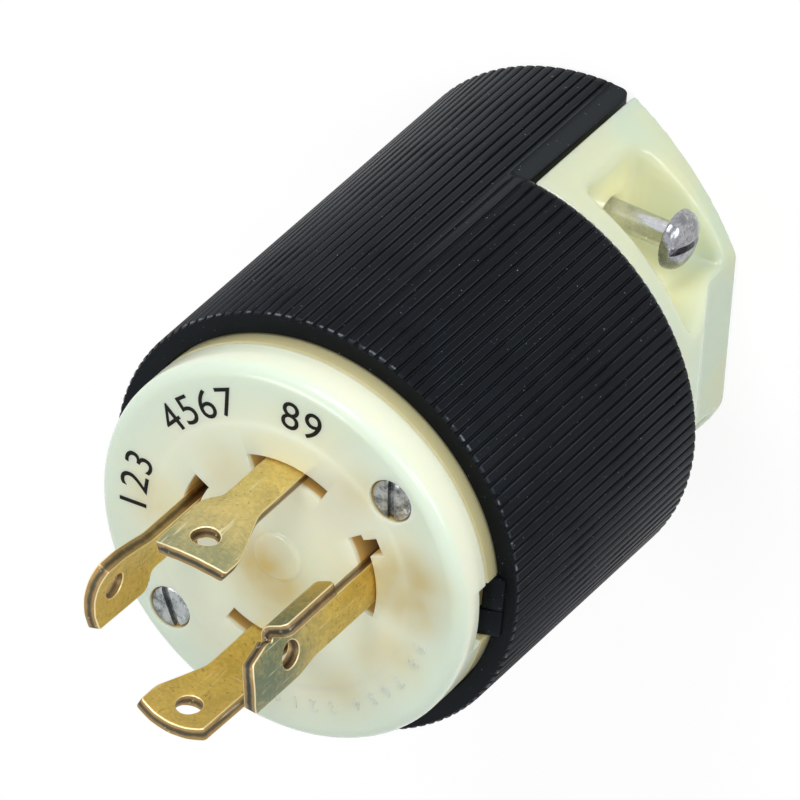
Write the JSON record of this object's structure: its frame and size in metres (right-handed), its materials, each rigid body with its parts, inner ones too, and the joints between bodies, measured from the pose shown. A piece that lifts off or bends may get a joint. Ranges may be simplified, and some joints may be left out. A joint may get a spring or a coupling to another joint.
{
  "type": "locking power plug",
  "caption": "Locking power plug with a ribbed black shell, a cream face, curved brass blades and a cream cord clamp.",
  "frame": {"origin": "centre of the rear end of the tongue and the cord clamp, where the cord enters", "axes": "+Z along the plug's axis towards the blades; +X through one of the two assembly screws, the one beside the ground blade"},
  "size_m": [0.0508, 0.0508, 0.0875],
  "materials": {
    "black_nylon": "satin moulded nylon",
    "cream_nylon": "glossy moulded nylon",
    "brass": "rolled sheet, slightly tarnished",
    "steel": "zinc plated",
    "rubber": "soft matt"
  },
  "bodies": {
    "root": {"outer_shell": "black_nylon", "front_body": "cream_nylon", "terminal_block": "cream_nylon", "blade_x": "brass", "blade_y": "brass", "blade_z": "brass", "blade_ground": "brass", "terminal_plate_x": "brass", "terminal_plate_y": "brass", "terminal_plate_z": "brass", "terminal_plate_ground": "brass", "terminal_screw_x": "brass", "terminal_screw_y": "brass", "terminal_screw_z": "steel", "terminal_screw_ground": "steel", "assembly_screw_1": "steel", "assembly_screw_2": "steel", "assembly_insert_1": "brass", "assembly_insert_2": "brass", "cord_clamp": "cream_nylon", "fixed_jaw": "cream_nylon", "clamp_screw_1": "steel", "clamp_screw_2": "steel", "clamp_nut_1": "steel", "clamp_nut_2": "steel", "dust_shield": "rubber"}
  },
  "joints": []
}
